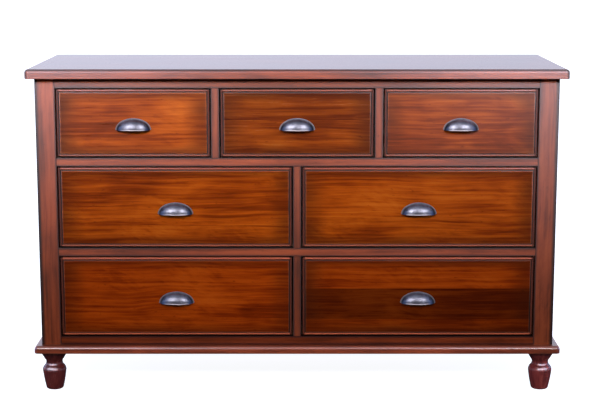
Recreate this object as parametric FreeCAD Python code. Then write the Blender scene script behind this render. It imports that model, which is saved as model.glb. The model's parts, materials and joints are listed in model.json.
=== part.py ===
import FreeCAD
import Part
import math
import os

os.makedirs("parts", exist_ok=True)

# Lengths are millimetres. X runs to the right, Y runs to the back, Z runs up, the floor is at zero.

# Top panel
top_width = 1524
top_depth = 559
top_thickness = 27
top_overhang = 24
top_edge_radius = 10
top_under_edge_radius = 3
top_corner_radius = 12

# Heights from the floor up
foot_height = 116
base_thickness = 22
bottom_rail_height = 25
lower_row_height = 235
lower_rail_height = 25
middle_row_height = 235
upper_rail_height = 25
upper_row_height = 197
top_rail_height = 28

# Face frame
frame_thickness = 20
stile_width = 57
muntin_width = 24
stile_edge_radius = 4
frame_edge_radius = 1.2
tenon_thickness = 8
tenon_shoulder = 4
rail_tenon_length = 20
muntin_tenon_length = 8

# Case
side_thickness = 20
back_thickness = 6
back_inset = 3
back_rabbet_width = 8
back_rail_thickness = 20
bottom_panel_thickness = 12

# Base
base_overhang = 23
base_frame_width = 95
base_edge_radius = 10
base_corner_radius = 12

# Turned feet, heights from the floor
foot_inset = 53
foot_collar_radius = 37.5
foot_collar_thickness = 9
foot_flare_round = 15.7
foot_flare_height = 89
foot_fillet_step = 0.7
foot_neck_radius = 23.6
foot_neck_height = 80.5
foot_shoulder_radius = 34
foot_shoulder_height = 56.5
foot_shoulder_round = 20
foot_taper_bulge = 0.9
foot_end_radius = 25.3
foot_end_edge_radius = 6

# Foot bolts
bolt_radius = 5
bolt_foot_length = 40
bolt_base_length = 16
bolt_clearance = 0.15

# Runners, guides, kickers and stops
runner_ledge = 10
guide_height = 30
guide_clearance = 1
stop_length = 20
stop_side_gap = 1.5
stop_clearance = 2

# Drawers
drawer_gap = 3.5
drawer_inset = 1
drawer_length = 480
front_thickness = 20
bead_radius = 3.2
bead_drop = 0.4
quirk_width = 2
field_edge_radius = 3
box_side_thickness = 12
box_back_thickness = 12
box_back_setback = 8
box_drop = 8
box_dado_depth = 5
drawer_bottom_thickness = 6
drawer_bottom_height = 10
drawer_groove_depth = 6
dovetail_length = 13
dovetail_pitch = 46
dovetail_slope_share = 1 / 7
dovetail_tail_share = 0.5

# Cup pulls
pull_width = 102
pull_height = 36
pull_projection = 22.5
pull_drop = 1.5
pull_wall = 2
pull_flange_width = 4
pull_flange_thickness = 2
pull_lip = 1.2
pull_lip_height = 2.6
pull_post_radius = 4.5
pull_post_height = 12
pull_post_spacing = 64
pull_hole_depth = 7

# Screws
pull_screw_radius = 2
pull_screw_reach = 6
pull_screw_head_radius = 4
pull_screw_head_height = 2.6
top_screw_radius = 2.2
top_screw_reach = 14
top_screw_head_radius = 4.2
top_screw_head_height = 2.8
top_screw_recess = 5
top_screw_end_distance = 70
back_screw_radius = 1.8
back_screw_reach = 14
back_screw_head_radius = 3.6
back_screw_head_height = 2
back_screw_end_distance = 60
back_screw_count = 5
screw_clearance = 0.15
screw_head_round_share = 0.6

# How close an edge must lie to a plane to be picked for rounding
position_tolerance = 0.01

# Planes worked out from the sizes above
case_width = top_width - 2 * top_overhang
side_inner_x = case_width / 2 - side_thickness
inner_width = case_width - 2 * stile_width
top_front_y = -top_depth / 2
case_back_y = top_depth / 2
frame_front_y = top_front_y + top_overhang
frame_back_y = frame_front_y + frame_thickness
back_outer_y = case_back_y - back_inset
back_inner_y = back_outer_y - back_thickness
back_rail_y = back_inner_y - back_rail_thickness
base_front_y = frame_front_y - base_overhang
base_half_width = case_width / 2 + base_overhang
drawer_front_y = frame_front_y + drawer_inset
drawer_shoulder_y = drawer_front_y + front_thickness
drawer_end_y = drawer_front_y + drawer_length

base_z = foot_height
case_z = base_z + base_thickness
lower_row_z = case_z + bottom_rail_height
lower_rail_z = lower_row_z + lower_row_height
middle_row_z = lower_rail_z + lower_rail_height
upper_rail_z = middle_row_z + middle_row_height
upper_row_z = upper_rail_z + upper_rail_height
top_rail_z = upper_row_z + upper_row_height
top_z = top_rail_z + top_rail_height

rails = {
    "bottom_rail": (case_z, bottom_rail_height),
    "lower_rail": (lower_rail_z, lower_rail_height),
    "upper_rail": (upper_rail_z, upper_rail_height),
    "top_rail": (top_rail_z, top_rail_height),
}

rows = {
    "lower": (lower_row_z, lower_row_height, ("left", "right")),
    "middle": (middle_row_z, middle_row_height, ("left", "right")),
    "upper": (upper_row_z, upper_row_height, ("left", "centre", "right")),
}

muntins = {
    "lower_muntin": ("lower", 0),
    "middle_muntin": ("middle", 0),
    "upper_left_muntin": ("upper", 0),
    "upper_right_muntin": ("upper", 1),
}


# Helpers

def block(x0, x1, y0, y1, z0, z1):
    corner = FreeCAD.Vector(x0, y0, z0)
    return Part.makeBox(x1 - x0, y1 - y0, z1 - z0, corner)


def prism(points, along):
    outline = [FreeCAD.Vector(*point) for point in points]
    wire = Part.makePolygon(outline + outline[:1])
    return Part.Face(wire).extrude(FreeCAD.Vector(*along))


def join(first, others):
    return first.fuse(others).removeSplitter() if others else first


def remove(solid, cutters):
    return solid.cut(cutters) if cutters else solid


def edges_at(solid, x=None, y=None, z=None):
    # every edge that lies wholly on the named planes
    found = []
    for edge in solid.Edges:
        points = [vertex.Point for vertex in edge.Vertexes] + [edge.CenterOfMass]
        near = True
        for point in points:
            for place, wanted in ((point.x, x), (point.y, y), (point.z, z)):
                if wanted is not None and abs(place - wanted) > position_tolerance:
                    near = False
        if near:
            found.append(edge)
    return found


def save(name, solids):
    shape = solids[0] if len(solids) == 1 else Part.makeCompound(solids)
    shape.exportStep("parts/" + name + ".step")


def mirror_x(solid):
    return solid.mirror(FreeCAD.Vector(0, 0, 0), FreeCAD.Vector(1, 0, 0))


def screw(radius, length, head_radius, head_height, seat, direction):
    # seat is the centre of the head's underside, the shank runs from it along the direction
    shank = Part.makeCylinder(radius, length)
    head = Part.makeCylinder(head_radius, head_height, FreeCAD.Vector(0, 0, -head_height))
    rim = edges_at(head, z=-head_height)
    head = head.makeFillet(head_height * screw_head_round_share, rim)
    solid = join(shank, [head])
    turn = FreeCAD.Rotation(FreeCAD.Vector(0, 0, 1), FreeCAD.Vector(*direction))
    solid.Placement = FreeCAD.Placement(FreeCAD.Vector(*seat), turn)
    return solid


def bore(radius, length, start, direction):
    return Part.makeCylinder(radius, length, FreeCAD.Vector(*start), FreeCAD.Vector(*direction))


def bays(row):
    # left and right edge of each drawer opening in a row
    count = len(rows[row][2])
    width = (inner_width - (count - 1) * muntin_width) / count
    starts = [index * (width + muntin_width) - inner_width / 2 for index in range(count)]
    return [(start, start + width) for start in starts]


# Top panel

def top_screw_places():
    places = []
    for x0, x1 in carriers("upper"):
        for y in (frame_back_y + top_screw_end_distance, back_rail_y - top_screw_end_distance):
            places.append(((x0 + x1) / 2, y))
    return places


def make_top():
    half = top_width / 2
    slab = block(-half, half, top_front_y, case_back_y, top_z, top_z + top_thickness)
    corners = edges_at(slab, x=-half, y=top_front_y) + edges_at(slab, x=half, y=top_front_y)
    slab = slab.makeFillet(top_corner_radius, corners)
    for z, radius in ((top_z + top_thickness, top_edge_radius), (top_z, top_under_edge_radius)):
        back = edges_at(slab, y=case_back_y, z=z)
        rim = [edge for edge in edges_at(slab, z=z) if not any(edge.isSame(other) for other in back)]
        slab = slab.makeFillet(radius, rim)
    length = top_screw_reach + screw_clearance
    holes = [bore(top_screw_radius + screw_clearance, length, (x, y, top_z), (0, 0, 1))
             for x, y in top_screw_places()]
    return remove(slab, holes)


# Face frame

def make_stile():
    left = -case_width / 2
    right = left + stile_width
    stile = block(left, right, frame_front_y, frame_back_y, case_z, top_z)
    stile = stile.makeFillet(stile_edge_radius, edges_at(stile, x=left, y=frame_front_y))
    stile = stile.makeFillet(frame_edge_radius, edges_at(stile, x=right, y=frame_front_y))
    mortises = [tenon_across(right - rail_tenon_length, right, z, height) for z, height in rails.values()]
    return remove(stile, mortises)


def tenon_across(x0, x1, z, height):
    y0 = frame_front_y + (frame_thickness - tenon_thickness) / 2
    return block(x0, x1, y0, y0 + tenon_thickness, z + tenon_shoulder, z + height - tenon_shoulder)


def tenon_upright(centre, z0, z1):
    y0 = frame_front_y + (frame_thickness - tenon_thickness) / 2
    half = muntin_width / 2 - tenon_shoulder
    return block(centre - half, centre + half, y0, y0 + tenon_thickness, z0, z1)


def muntin_place(name):
    row, index = muntins[name]
    z, height, drawers = rows[row]
    return bays(row)[index][1] + muntin_width / 2, z, z + height


def make_rail(name):
    z, height = rails[name]
    half = inner_width / 2
    rail = block(-half, half, frame_front_y, frame_back_y, z, z + height)
    edges = edges_at(rail, y=frame_front_y, z=z) + edges_at(rail, y=frame_front_y, z=z + height)
    rail = rail.makeFillet(frame_edge_radius, edges)
    rail = join(rail, [tenon_across(-half - rail_tenon_length, -half, z, height),
                       tenon_across(half, half + rail_tenon_length, z, height)])
    mortises = []
    for muntin in muntins:
        centre, z0, z1 = muntin_place(muntin)
        if abs(z1 - z) < position_tolerance:
            mortises.append(tenon_upright(centre, z, z + muntin_tenon_length))
        if abs(z0 - z - height) < position_tolerance:
            mortises.append(tenon_upright(centre, z + height - muntin_tenon_length, z + height))
    return remove(rail, mortises)


def make_muntin(name):
    centre, z0, z1 = muntin_place(name)
    left = centre - muntin_width / 2
    right = centre + muntin_width / 2
    muntin = block(left, right, frame_front_y, frame_back_y, z0, z1)
    edges = edges_at(muntin, x=left, y=frame_front_y) + edges_at(muntin, x=right, y=frame_front_y)
    muntin = muntin.makeFillet(frame_edge_radius, edges)
    return join(muntin, [tenon_upright(centre, z0 - muntin_tenon_length, z0),
                         tenon_upright(centre, z1, z1 + muntin_tenon_length)])


# Case

def make_side():
    side = block(-case_width / 2, -side_inner_x, frame_back_y, case_back_y, case_z, top_z)
    rabbet_x = -side_inner_x - back_rabbet_width
    rabbet = block(rabbet_x, -side_inner_x, back_inner_y, case_back_y, case_z, top_z)
    return remove(side, [rabbet])


def back_rail_levels():
    return [rails[name] for name in ("lower_rail", "upper_rail", "top_rail")]


def back_screw_places():
    reach = side_inner_x - back_screw_end_distance
    step = 2 * reach / (back_screw_count - 1)
    return [(index * step - reach, z + height / 2)
            for z, height in back_rail_levels() for index in range(back_screw_count)]


def back_screw_holes():
    length = back_thickness + back_screw_reach + screw_clearance
    return [bore(back_screw_radius + screw_clearance, length, (x, back_outer_y, z), (0, -1, 0))
            for x, z in back_screw_places()]


def make_back():
    half = side_inner_x + back_rabbet_width
    return remove(block(-half, half, back_inner_y, back_outer_y, case_z, top_z), back_screw_holes())


def make_back_rails():
    blanks = [block(-side_inner_x, side_inner_x, back_rail_y, back_inner_y, z, z + height)
              for z, height in back_rail_levels()]
    return [remove(blank, back_screw_holes()) for blank in blanks]


def make_back_screws():
    length = back_thickness + back_screw_reach
    return [screw(back_screw_radius, length, back_screw_head_radius, back_screw_head_height,
                  (x, back_outer_y, z), (0, -1, 0)) for x, z in back_screw_places()]


def make_bottom():
    top = case_z + bottom_panel_thickness
    return block(-side_inner_x, side_inner_x, frame_back_y, back_inner_y, case_z, top)


# Runners, guides, kickers and stops

def between(row, reach):
    # strips that stand behind the stiles and the muntins and reach that far past each drawer opening's edge
    edges = bays(row)
    strips = [(-side_inner_x, edges[0][0] + reach)]
    for left, right in zip(edges, edges[1:]):
        strips.append((left[1] - reach, right[0] + reach))
    strips.append((edges[-1][1] - reach, side_inner_x))
    return strips


def carriers(row):
    return between(row, drawer_gap + box_side_thickness + runner_ledge)


def strip(x_limits, z0, z1):
    return block(x_limits[0], x_limits[1], frame_back_y, back_rail_y, z0, z1)


def make_runners():
    floors = {"lower": case_z + bottom_panel_thickness, "middle": lower_rail_z, "upper": upper_rail_z}
    return [strip(limits, floors[row], rows[row][0]) for row in rows for limits in carriers(row)]


def make_guides():
    reach = drawer_gap - guide_clearance
    return [strip(limits, rows[row][0], rows[row][0] + guide_height)
            for row in rows for limits in between(row, reach)]


def make_kickers():
    under_top = [strip(limits, top_rail_z, top_z) for limits in carriers("upper")]
    head_hole = top_screw_head_radius + screw_clearance
    shank_hole = top_screw_radius + screw_clearance
    holes = []
    for x, y in top_screw_places():
        holes.append(bore(head_hole, top_screw_recess, (x, y, top_rail_z), (0, 0, 1)))
        holes.append(bore(shank_hole, top_rail_height, (x, y, top_rail_z), (0, 0, 1)))
    over_middle_row = strip(carriers("middle")[1], upper_rail_z, upper_row_z)
    return [remove(kicker, holes) for kicker in under_top] + [over_middle_row]


def make_top_screws():
    seat = top_rail_z + top_screw_recess
    length = top_z - seat + top_screw_reach
    return [screw(top_screw_radius, length, top_screw_head_radius, top_screw_head_height,
                  (x, y, seat), (0, 0, 1)) for x, y in top_screw_places()]


def make_stops():
    stops = []
    for row, (z, height, drawers) in rows.items():
        top = z + drawer_bottom_height - stop_clearance
        for x0, x1 in bays(row):
            outer = drawer_gap + box_side_thickness + stop_side_gap
            inner = drawer_gap + box_side_thickness + runner_ledge
            for a, b in ((x0 + outer, x0 + inner), (x1 - inner, x1 - outer)):
                stops.append(block(a, b, drawer_shoulder_y, drawer_shoulder_y + stop_length, z, top))
    return stops


# Base and feet

def foot_places():
    x = base_half_width - foot_inset
    front = base_front_y + foot_inset
    back = case_back_y - foot_inset
    return {"front_left_foot": (-x, front), "front_right_foot": (x, front),
            "rear_left_foot": (-x, back), "rear_right_foot": (x, back)}


def bolt_holes():
    length = bolt_foot_length + bolt_base_length + 2 * bolt_clearance
    start = base_z - bolt_foot_length - bolt_clearance
    radius = bolt_radius + bolt_clearance
    return [bore(radius, length, (x, y, start), (0, 0, 1)) for x, y in foot_places().values()]


def base_slab():
    half = base_half_width
    slab = block(-half, half, base_front_y, case_back_y, base_z, case_z)
    slab = slab.makeFillet(base_corner_radius,
                           edges_at(slab, x=-half, y=base_front_y) + edges_at(slab, x=half, y=base_front_y))
    back = edges_at(slab, y=case_back_y, z=case_z)
    rim = [edge for edge in edges_at(slab, z=case_z) if not any(edge.isSame(other) for other in back)]
    return slab.makeFillet(base_edge_radius, rim)


def make_base_front():
    half = base_half_width
    inner = half - base_frame_width
    y1 = base_front_y + base_frame_width
    outline = [(-half, base_front_y, base_z), (half, base_front_y, base_z),
               (inner, y1, base_z), (-inner, y1, base_z)]
    piece = base_slab().common(prism(outline, (0, 0, base_thickness)))
    return remove(piece, bolt_holes())


def make_base_left():
    half = base_half_width
    inner = half - base_frame_width
    y1 = base_front_y + base_frame_width
    outline = [(-half, base_front_y, base_z), (-inner, y1, base_z),
               (-inner, case_back_y, base_z), (-half, case_back_y, base_z)]
    piece = base_slab().common(prism(outline, (0, 0, base_thickness)))
    return remove(piece, bolt_holes())


def make_base_back():
    inner = base_half_width - base_frame_width
    return block(-inner, inner, case_back_y - base_frame_width, case_back_y, base_z, case_z)


def foot_at(radius, height):
    return FreeCAD.Vector(radius, 0, height)


def arc_about(centre, start, end):
    # arc round a centre between two points of the foot's outline, the short way
    radius = (start - centre).Length
    middle = (start + end) / 2 - centre
    return Part.Arc(start, centre + middle.normalize() * radius, end).toShape()


def foot_toe():
    end = foot_at(foot_end_radius - foot_end_edge_radius, 0)
    side = foot_at(foot_end_radius, foot_end_edge_radius)
    centre = foot_at(end.x, side.z)
    return [Part.makeLine(foot_at(0, 0), end), arc_about(centre, end, side)]


def foot_taper():
    low = foot_at(foot_end_radius, foot_end_edge_radius)
    high = foot_at(foot_shoulder_radius, foot_shoulder_height)
    chord = high - low
    outwards = FreeCAD.Vector(chord.z, 0, -chord.x).normalize()
    return [Part.Arc(low, (low + high) / 2 + outwards * foot_taper_bulge, high).toShape()]


def foot_shoulder():
    # a round shoulder that runs smoothly into the hollow of the neck
    start = foot_at(foot_shoulder_radius, foot_shoulder_height)
    centre = foot_at(foot_shoulder_radius - foot_shoulder_round, foot_shoulder_height)
    neck = foot_at(foot_neck_radius, foot_neck_height)
    across = neck.x - centre.x
    up = neck.z - centre.z
    hollow = (across ** 2 + up ** 2 - foot_shoulder_round ** 2) / (2 * (foot_shoulder_round - across))
    hollow_centre = foot_at(neck.x + hollow, neck.z)
    meeting = centre + (hollow_centre - centre).normalize() * foot_shoulder_round
    return [arc_about(centre, start, meeting), arc_about(hollow_centre, meeting, neck)]


def foot_flare():
    neck = foot_at(foot_neck_radius, foot_neck_height)
    centre = foot_at(foot_neck_radius + foot_flare_round, foot_neck_height)
    rise = foot_flare_height - foot_neck_height
    top = foot_at(centre.x - math.sqrt(foot_flare_round ** 2 - rise ** 2), foot_flare_height)
    fillet = foot_at(top.x + foot_fillet_step, foot_flare_height)
    under_collar = foot_at(foot_collar_radius, foot_height - foot_collar_thickness)
    collar = foot_at(foot_collar_radius, foot_height)
    corners = [top, fillet, under_collar, collar, foot_at(0, foot_height), foot_at(0, 0)]
    return [arc_about(centre, neck, top)] + [Part.makeLine(a, b) for a, b in zip(corners, corners[1:])]


def foot_profile():
    # half outline of the turning, radius along X and height along Z, from the floor up
    return Part.Face(Part.Wire(foot_toe() + foot_taper() + foot_shoulder() + foot_flare()))


def make_foot(place):
    foot = foot_profile().revolve(FreeCAD.Vector(0, 0, 0), FreeCAD.Vector(0, 0, 1), 360)
    foot.translate(FreeCAD.Vector(place[0], place[1], 0))
    return remove(foot, bolt_holes())


def make_bolts():
    length = bolt_foot_length + bolt_base_length
    start = base_z - bolt_foot_length
    return [bore(bolt_radius, length, (x, y, start), (0, 0, 1)) for x, y in foot_places().values()]


# Drawers

def front_limits(bay, z, height):
    return bay[0] + drawer_gap, bay[1] - drawer_gap, z + drawer_gap, z + height - drawer_gap


def edge_profile(x, z):
    # section of the routed border at the middle of the front's lower edge, measured inwards and backwards
    def at(inwards, depth):
        return FreeCAD.Vector(x, drawer_front_y + depth, z + inwards)

    corner = math.sqrt(1 / 2)
    quirk_depth = bead_drop + bead_radius
    bead_end = 2 * bead_radius
    quirk_end = bead_end + quirk_width
    field = quirk_end + field_edge_radius
    round_mid = field_edge_radius - field_edge_radius * corner
    round_points = [at(quirk_end, field_edge_radius), at(quirk_end + round_mid, round_mid), at(field, 0)]
    edges = [
        Part.makeLine(at(0, front_thickness), at(0, quirk_depth)),
        Part.Arc(at(0, quirk_depth), at(bead_radius, bead_drop), at(bead_end, quirk_depth)).toShape(),
        Part.makeLine(at(bead_end, quirk_depth), at(quirk_end, quirk_depth)),
        Part.makeLine(at(quirk_end, quirk_depth), at(quirk_end, field_edge_radius)),
        Part.Arc(*round_points).toShape(),
        Part.makeLine(at(field, 0), at(field, front_thickness)),
        Part.makeLine(at(field, front_thickness), at(0, front_thickness)),
    ]
    return Part.Wire(edges)


def border_width():
    return 2 * bead_radius + quirk_width + field_edge_radius


def make_border(x0, x1, z0, z1):
    # the routed border runs right round the front and is mitred at its corners
    middle = (x0 + x1) / 2
    y = drawer_front_y
    points = [(middle, y, z0), (x1, y, z0), (x1, y, z1), (x0, y, z1), (x0, y, z0), (middle, y, z0)]
    path = Part.makePolygon([FreeCAD.Vector(*point) for point in points])
    return path.makePipeShell([edge_profile(middle, z0)], True, False, 1)


def tails(x0, x1, z, height):
    # dovetail tails of one drawer side, which the front is cut to match
    low = z + drawer_gap
    high = z + height - box_drop
    count = round((high - low) / dovetail_pitch)
    pitch = (high - low) / count
    half = pitch * dovetail_tail_share / 2
    flare = dovetail_length * dovetail_slope_share
    y0 = drawer_shoulder_y - dovetail_length
    shapes = []
    for index in range(count):
        centre = low + (index + 1 / 2) * pitch
        outline = [(x0, drawer_shoulder_y, centre - half), (x0, y0, centre - half - flare),
                   (x0, y0, centre + half + flare), (x0, drawer_shoulder_y, centre + half)]
        shapes.append(prism(outline, (x1 - x0, 0, 0)))
    return shapes


def side_limits(bay):
    left = bay[0] + drawer_gap
    right = bay[1] - drawer_gap
    return (left, left + box_side_thickness), (right - box_side_thickness, right)


def make_drawer_bottom(bay, z):
    left, right = side_limits(bay)
    z0 = z + drawer_bottom_height
    return block(left[1] - drawer_groove_depth, right[0] + drawer_groove_depth,
                 drawer_shoulder_y - drawer_groove_depth, drawer_end_y, z0, z0 + drawer_bottom_thickness)


def make_drawer_back(bay, z, height):
    left, right = side_limits(bay)
    y1 = drawer_end_y - box_back_setback
    floor = z + drawer_bottom_height + drawer_bottom_thickness
    return block(left[1] - box_dado_depth, right[0] + box_dado_depth, y1 - box_back_thickness, y1,
                 floor, z + height - box_drop)


def make_drawer_side(limits, bay, z, height):
    side = block(limits[0], limits[1], drawer_shoulder_y, drawer_end_y, z, z + height - box_drop)
    side = join(side, tails(limits[0], limits[1], z, height))
    return remove(side, [make_drawer_bottom(bay, z), make_drawer_back(bay, z, height)])


def make_box(bay, z, height):
    sides = [make_drawer_side(limits, bay, z, height) for limits in side_limits(bay)]
    return sides + [make_drawer_back(bay, z, height), make_drawer_bottom(bay, z)]


def pull_place(bay, z, height):
    return (bay[0] + bay[1]) / 2, z + height / 2 - pull_drop - pull_height / 2


def pull_screw_places(bay, z, height):
    x, low = pull_place(bay, z, height)
    half = pull_post_spacing / 2
    return [(x - half, low + pull_post_height), (x + half, low + pull_post_height)]


def make_front(bay, z, height):
    x0, x1, z0, z1 = front_limits(bay, z, height)
    rim = border_width()
    field = block(x0 + rim, x1 - rim, drawer_front_y, drawer_shoulder_y, z0 + rim, z1 - rim)
    front = join(field, [make_border(x0, x1, z0, z1)])
    cutters = [make_drawer_bottom(bay, z)]
    for limits in side_limits(bay):
        cutters += tails(limits[0], limits[1], z, height)
    for x, screw_z in pull_screw_places(bay, z, height):
        cutters.append(bore(pull_screw_radius + screw_clearance, front_thickness,
                            (x, drawer_front_y, screw_z), (0, 1, 0)))
    return remove(front, cutters)


def make_pull_screws(bay, z, height):
    length = front_thickness + pull_screw_reach
    seats = [(x, drawer_shoulder_y, screw_z) for x, screw_z in pull_screw_places(bay, z, height)]
    return [screw(pull_screw_radius, length, pull_screw_head_radius, pull_screw_head_height, seat, (0, -1, 0))
            for seat in seats]


# Cup pull, drawn with its back on the plane Y = 0 and its open edge at Z = 0

def quarter_dome(half_width, depth, height):
    ball = Part.makeSphere(height, FreeCAD.Vector(0, 0, 0), FreeCAD.Vector(0, 0, 1), 0, 90, 180)
    ball.rotate(FreeCAD.Vector(0, 0, 0), FreeCAD.Vector(0, 0, 1), 180)
    stretch = FreeCAD.Matrix()
    stretch.scale(half_width / height, depth / height, 1)
    return ball.transformGeometry(stretch)


def half_ellipse(half_width, reach, thickness):
    curve = Part.Ellipse(FreeCAD.Vector(0, 0, 0), half_width, reach)
    arc = Part.ArcOfEllipse(curve, math.pi, 2 * math.pi).toShape()
    chord = Part.makeLine(FreeCAD.Vector(half_width, 0, 0), FreeCAD.Vector(-half_width, 0, 0))
    return Part.Face(Part.Wire([arc, chord])).extrude(FreeCAD.Vector(0, 0, thickness))


def make_pull():
    half_width = pull_width / 2 - pull_flange_width
    height = pull_height - pull_flange_width
    depth = pull_projection - pull_lip
    outer = quarter_dome(half_width, depth, height)
    hollow = quarter_dome(half_width - pull_wall, depth - pull_wall, height - pull_wall)
    shell = outer.cut(hollow)
    flange = half_ellipse(pull_width / 2, pull_height, pull_flange_thickness)
    flange = flange.cut(half_ellipse(half_width - pull_wall, height - pull_wall, pull_flange_thickness))
    flange.rotate(FreeCAD.Vector(0, 0, 0), FreeCAD.Vector(1, 0, 0), -90)
    flange.translate(FreeCAD.Vector(0, -pull_flange_thickness, 0))
    lip = half_ellipse(half_width + pull_lip, depth + pull_lip, pull_lip_height)
    lip = lip.cut(half_ellipse(half_width - pull_wall, depth - pull_wall, pull_lip_height))
    pieces = [flange, lip]
    holes = []
    for side in (-1, 1):
        start = (side * pull_post_spacing / 2, 0, pull_post_height)
        pieces.append(bore(pull_post_radius, depth, start, (0, -1, 0)).common(outer))
        holes.append(bore(pull_screw_radius + screw_clearance, pull_hole_depth, start, (0, -1, 0)))
    return join(shell, pieces).cut(holes)


# One file for each node

def write_case():
    save("top_panel", [make_top()])
    stile = make_stile()
    save("left_stile", [stile])
    save("right_stile", [mirror_x(stile)])
    for name in rails:
        save(name, [make_rail(name)])
    for name in muntins:
        save(name, [make_muntin(name)])
    side = make_side()
    save("left_side_panel", [side])
    save("right_side_panel", [mirror_x(side)])
    save("back_panel", [make_back()])
    save("back_rails", make_back_rails())
    save("back_panel_screws", make_back_screws())
    save("bottom_panel", [make_bottom()])
    save("drawer_runners", make_runners())
    save("drawer_guides", make_guides())
    save("drawer_kickers", make_kickers())
    save("drawer_stops", make_stops())
    save("top_screws", make_top_screws())


def write_base():
    save("base_front_moulding", [make_base_front()])
    left = make_base_left()
    save("base_left_moulding", [left])
    save("base_right_moulding", [mirror_x(left)])
    save("base_back_rail", [make_base_back()])
    for name, place in foot_places().items():
        save(name, [make_foot(place)])
    save("foot_bolts", make_bolts())


def write_drawers():
    pull = make_pull()
    for row, (z, height, drawers) in rows.items():
        for place, bay in zip(drawers, bays(row)):
            name = row + "_" + place + "_drawer"
            save(name + "_front", [make_front(bay, z, height)])
            save(name + "_box", make_box(bay, z, height))
            x, low = pull_place(bay, z, height)
            placed = pull.copy()
            placed.translate(FreeCAD.Vector(x, drawer_front_y, low))
            save(name + "_pull", [placed])
            save(name + "_pull_screws", make_pull_screws(bay, z, height))


write_case()
write_base()
write_drawers()
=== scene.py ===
import bpy
import json
import math
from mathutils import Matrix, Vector

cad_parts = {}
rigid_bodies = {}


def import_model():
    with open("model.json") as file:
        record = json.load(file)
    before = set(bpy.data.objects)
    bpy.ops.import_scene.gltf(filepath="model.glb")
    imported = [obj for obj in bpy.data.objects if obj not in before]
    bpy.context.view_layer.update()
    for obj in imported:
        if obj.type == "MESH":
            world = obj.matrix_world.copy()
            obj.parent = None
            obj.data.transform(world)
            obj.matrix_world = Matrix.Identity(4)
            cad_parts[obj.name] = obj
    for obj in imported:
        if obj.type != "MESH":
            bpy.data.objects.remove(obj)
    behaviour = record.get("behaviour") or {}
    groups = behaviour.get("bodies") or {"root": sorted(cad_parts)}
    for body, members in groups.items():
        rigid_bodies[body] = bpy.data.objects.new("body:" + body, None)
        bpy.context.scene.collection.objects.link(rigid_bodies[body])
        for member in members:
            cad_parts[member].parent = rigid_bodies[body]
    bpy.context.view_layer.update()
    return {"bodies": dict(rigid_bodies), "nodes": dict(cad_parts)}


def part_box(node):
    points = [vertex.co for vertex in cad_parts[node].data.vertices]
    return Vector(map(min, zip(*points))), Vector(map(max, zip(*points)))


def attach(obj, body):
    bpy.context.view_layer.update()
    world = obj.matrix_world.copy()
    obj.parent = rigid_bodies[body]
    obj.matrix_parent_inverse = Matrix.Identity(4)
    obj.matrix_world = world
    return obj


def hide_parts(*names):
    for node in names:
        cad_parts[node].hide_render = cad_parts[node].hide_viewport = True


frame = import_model()
nodes = frame["nodes"]
drawers = [body for body in frame["bodies"] if body.endswith("_drawer")]
print("frame loaded:", len(nodes), "nodes,", len(drawers), "drawers")


# selecting and shaping

def letGo():
    bpy.ops.object.select_all(action="DESELECT")


def hold(piece):
    letGo()
    piece.select_set(True)
    bpy.context.view_layer.objects.active = piece


def editMode():
    bpy.ops.object.mode_set(mode="EDIT")


def objectMode():
    bpy.ops.object.mode_set(mode="OBJECT")


def selectAll():
    bpy.ops.mesh.select_all(action="SELECT")


def openWhole(piece):
    # leaves the piece in edit mode with its whole mesh selected
    hold(piece)
    editMode()
    selectAll()


def pick(piece, kind, test):
    # leaves the piece in edit mode with the passing edges or faces selected
    hold(piece)
    editMode()
    bpy.ops.mesh.select_mode(type=kind)
    bpy.ops.mesh.select_all(action="DESELECT")
    objectMode()
    mesh = piece.data
    for item in mesh.edges if kind == "EDGE" else mesh.polygons:
        item.select = bool(test([mesh.vertices[i].co for i in item.vertices]))
    editMode()


def flat(corners, axis, value, slack=1e-5):
    return all(abs(corner[axis] - value) < slack for corner in corners)


def level(corners, axis, slack=1e-6):
    return abs(corners[0][axis] - corners[1][axis]) < slack


def upright(corners):
    return level(corners, 0) and level(corners, 1)


def roundEdges(piece, test, radius, steps):
    pick(piece, "EDGE", test)
    bpy.ops.mesh.bevel(offset=radius, offset_type="OFFSET", segments=steps, profile=0.5, affect="EDGES",
                       clamp_overlap=False)
    objectMode()


def named(name):
    piece = bpy.context.object
    piece.name = piece.data.name = name
    return piece


def stretch(piece, scale):
    piece.scale = scale
    bpy.ops.object.transform_apply(location=True, rotation=True, scale=True)


def board(name, low, high):
    letGo()
    bpy.ops.mesh.primitive_cube_add(size=1, location=(low + high) / 2)
    piece = named(name)
    stretch(piece, high - low)
    return piece


def cleanMesh(piece, gap=1e-6):
    openWhole(piece)
    bpy.ops.mesh.remove_doubles(threshold=gap)
    bpy.ops.mesh.normals_make_consistent(inside=False)
    objectMode()


def cutAway(piece, point, normal):
    # keeps what lies behind the plane and closes the cut
    openWhole(piece)
    bpy.ops.mesh.bisect(plane_co=point, plane_no=normal, use_fill=True, clear_outer=True)
    objectMode()


def copyOf(pattern, name, place):
    # a copy with its own mesh, moved from the origin to its place
    piece = pattern.copy()
    piece.data = pattern.data.copy()
    piece.name = piece.data.name = name
    bpy.context.scene.collection.objects.link(piece)
    openWhole(piece)
    bpy.ops.transform.translate(value=place)
    objectMode()
    return piece


def applyModifier(piece, kind, **values):
    hold(piece)
    bpy.ops.object.modifier_add(type=kind)
    modifier = piece.modifiers[-1]
    for key, value in values.items():
        setattr(modifier, key, value)
    bpy.ops.object.modifier_apply(modifier=modifier.name)


def fit(piece, body, slot, *replaced, angle=35):
    hold(piece)
    bpy.ops.object.shade_smooth_by_angle(angle=math.radians(angle))
    applyModifier(piece, "WEIGHTED_NORMAL", keep_sharp=True, weight=100)
    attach(piece, body)
    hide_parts(*replaced)


def dress(piece, finish):
    piece.data.materials.clear()
    piece.data.materials.append(finish)


# node helpers for the finishes

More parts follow.
